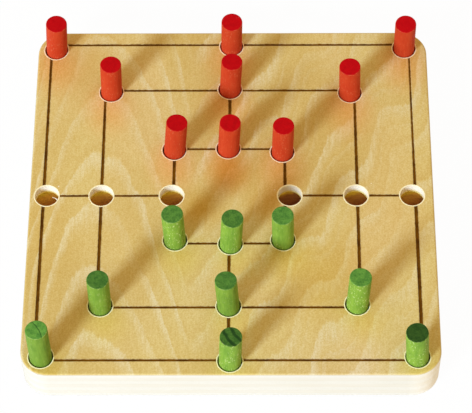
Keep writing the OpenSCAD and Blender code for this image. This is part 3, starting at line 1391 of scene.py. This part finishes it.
@dataclass
class PegSet:
    """The eighteen pegs, with how each one took its stain."""

    red: StainedDowel = StainedDowel(
        "red_stain",
        side_pale=(0.56, 0.058, 0.0165), side_deep=(0.5, 0.037, 0.0105), fleck=(0.66, 0.17, 0.075),
        end_pale=(0.56, 0.002, 0.006), end_deep=(0.475, 0.0005, 0.005), split=(0.25, 0.001, 0.002),
    )
    green: StainedDowel = StainedDowel(
        "green_stain",
        side_pale=(0.25, 0.395, 0.047), side_deep=(0.145, 0.27, 0.03), fleck=(0.46, 0.55, 0.19),
        end_pale=(0.115, 0.28, 0.046), end_deep=(0.046, 0.15, 0.026), split=(0.012, 0.05, 0.012),
    )
    characters: dict[str, Character] = field(
        default_factory=lambda: {
            "green_peg_outer_left": Character(side_tone=0.82, end_tone=1.47, split=1.0, fuzz=0.3),
            "green_peg_outer_centre": Character(end_tone=0.72, rings=1.3, fuzz=1.1, turn=1.82),
            "green_peg_outer_right": Character(side_tone=1.03, end_tone=0.39, rings=0.25, fuzz=1.0),
            "green_peg_middle_left": Character(side_tone=0.91, end_tone=0.86),
            "green_peg_middle_centre": Character(side_tone=0.89, end_tone=0.95, rings=0.25),
            "green_peg_middle_right": Character(side_tone=1.05, end_tone=1.35, fuzz=1.1),
            "green_peg_inner_left": Character(side_tone=1.06, end_tone=1.04, fuzz=1.1),
            "green_peg_inner_centre": Character(side_tone=1.1, end_tone=0.95, fuzz=0.5),
            "green_peg_inner_right": Character(side_tone=0.99, end_tone=1.15),
            "red_peg_outer_right": Character(side_tone=0.96, fuzz=0.2),
            "red_peg_inner_centre": Character(side_tone=1.03, rings=0.3, fuzz=0.3),
        }
    )
    first_seed: float = 0.13
    seed_step: float = 0.379
    pegs: list[Peg] = field(default_factory=list)

    def find(self) -> None:
        """Lists every peg in the frame, in the order of their names, each with its own seed."""
        for number, node in enumerate(sorted(n for n in frame["nodes"] if "_peg_" in n)):
            stain = Stain.RED if node.startswith("red") else Stain.GREEN
            character = self.characters.get(node, Character())
            self.pegs.append(Peg(node, stain, self.first_seed + self.seed_step * number, character))

    def build(self) -> None:
        """Builds every peg in its stain."""
        stains = {Stain.RED: self.red.material(), Stain.GREEN: self.green.material()}
        for peg in self.pegs:
            peg.build(stains[peg.stain])


@dataclass
class Studio:
    """The pale floor, the lamp and the sky, and the camera where the photograph was taken from."""

    image_wide: int = 472
    elevation: float = 58.05
    azimuth: float = 0.94
    roll: float = -0.87
    distance: float = 0.821
    focal_pixels: float = 2219.0
    looks_at: Vector = field(default_factory=lambda: Vector((1.67, -4.81, 16.0)) * MM)
    sensor: float = 36.0
    nearest: float = 0.05
    farthest: float = 20.0
    lamp_azimuth: float = 52.0
    lamp_elevation: float = 27.0
    lamp_distance: float = 2.2
    lamp_wide: float = 0.52
    lamp_level: float = 1.24
    lamp_colour: Colour = (0.602, 0.78, 1.0)
    sky_level: float = 0.69
    sky_colour: Colour = (1.0, 0.77, 0.42)
    floor_half: float = 3.0
    floor_gap: float = 0.02 * MM
    floor_colour: Colour = (0.9, 0.9, 0.895)
    floor_white: float = 0.97

    def build(self) -> None:
        """Builds the whole studio."""
        self.build_floor()
        self.build_light()
        self.build_camera()

    def build_floor(self) -> None:
        """A wide pale floor that the camera sees as nearly white, with the board's shadow kept."""
        shape = bmesh.new()
        bmesh.ops.create_grid(shape, x_segments=1, y_segments=1, size=self.floor_half)
        floor = linked("floor", meshed("floor", shape))
        floor.location.z = -self.floor_gap
        made, wiring = new_material("pale_floor")
        matt = wiring.node("BsdfDiffuse", {"Color": self.floor_colour})
        white = wiring.node("Emission", {"Color": EVEN, "Strength": 1.0})
        share = self.seen(wiring) * self.floor_white
        both = wiring.node("MixShader", {0: share, 1: matt[0], 2: white[0]})
        wiring.node("OutputMaterial", {"Surface": both[0]})
        floor.data.materials.append(made)

    @staticmethod
    def seen(wiring: Wiring) -> Wire:
        """Tells what the camera sees from the light that falls on the object.

        Args:
            wiring: The wiring of the floor's or sky's tree.

        Returns:
            1 for what the camera sees, itself or in a gloss, and 0 for the light.
        """
        rays = wiring.node("LightPath")
        seen = rays["Is Camera Ray"] + rays["Is Glossy Ray"] + rays["Is Transmission Ray"]
        return wiring.math("MINIMUM", 1.0, seen)

    def build_light(self) -> None:
        """A low lamp at the front left, wide enough for soft shadows, and an even pale sky."""
        turn, rise = math.radians(self.lamp_azimuth), math.radians(self.lamp_elevation)
        towards = Vector((-math.cos(turn) * math.cos(rise), -math.sin(turn) * math.cos(rise), math.sin(rise)))
        light = bpy.data.lights.new("front_left_lamp", "AREA")
        light.shape = "DISK"
        light.size = self.lamp_wide
        light.energy = self.lamp_level * math.pi**2 * self.lamp_distance**2
        light.color = self.lamp_colour
        facing = towards.to_track_quat("Z", "Y").to_matrix().to_4x4()
        lamp = linked("front_left_lamp", light)
        lamp.matrix_world = Matrix.Translation(towards * self.lamp_distance) @ facing
        world = bpy.data.worlds.new("studio")
        world.use_nodes = True
        wiring = Wiring(world.node_tree)
        sky = wiring.node("Background", {"Color": self.sky_colour, "Strength": self.sky_level})
        white = wiring.node("Background", {"Color": EVEN, "Strength": 1.0})
        both = wiring.node("MixShader", {0: self.seen(wiring), 1: sky[0], 2: white[0]})
        wiring.node("OutputWorld", {"Surface": both[0]})
        bpy.context.scene.world = world

    def build_camera(self) -> None:
        """The camera, from the angle, distance and focal length that fit the photograph."""
        rise, turn, roll = (math.radians(v) for v in (self.elevation, self.azimuth, self.roll))
        back = Vector((math.cos(rise) * math.sin(turn), -math.cos(rise) * math.cos(turn), math.sin(rise)))
        right = Vector((math.cos(turn), math.sin(turn), 0.0))
        up = back.cross(right)
        aside = math.cos(roll) * right + math.sin(roll) * up
        above = math.cos(roll) * up - math.sin(roll) * right
        data = bpy.data.cameras.new("camera")
        data.sensor_fit = "HORIZONTAL"
        data.sensor_width = self.sensor
        data.lens = self.focal_pixels / self.image_wide * self.sensor
        data.clip_start = self.nearest
        data.clip_end = self.farthest
        camera = linked("camera", data)
        turned = Matrix((aside, above, back)).transposed().to_4x4()
        camera.matrix_world = Matrix.Translation(self.looks_at + back * self.distance) @ turned
        bpy.context.scene.camera = camera


def main() -> None:
    """Builds the board, its holes and its pegs, and the studio round them."""
    logging.basicConfig(level=logging.INFO, format="%(message)s")
    bpy.context.scene.view_settings.view_transform = "Standard"
    pegs = PegSet()
    pegs.find()
    holes = Holes()
    holes.find(pegs.pegs)
    Plywood(tuple(holes.holes)).dress()
    pegs.build()
    bare_wood = RawRim().material()
    holes.build_rims(bare_wood)
    holes.build_floors(DrilledFloor().material())
    holes.build_splinter(bare_wood)
    Studio().build()


if __name__ == "__main__":
    main()
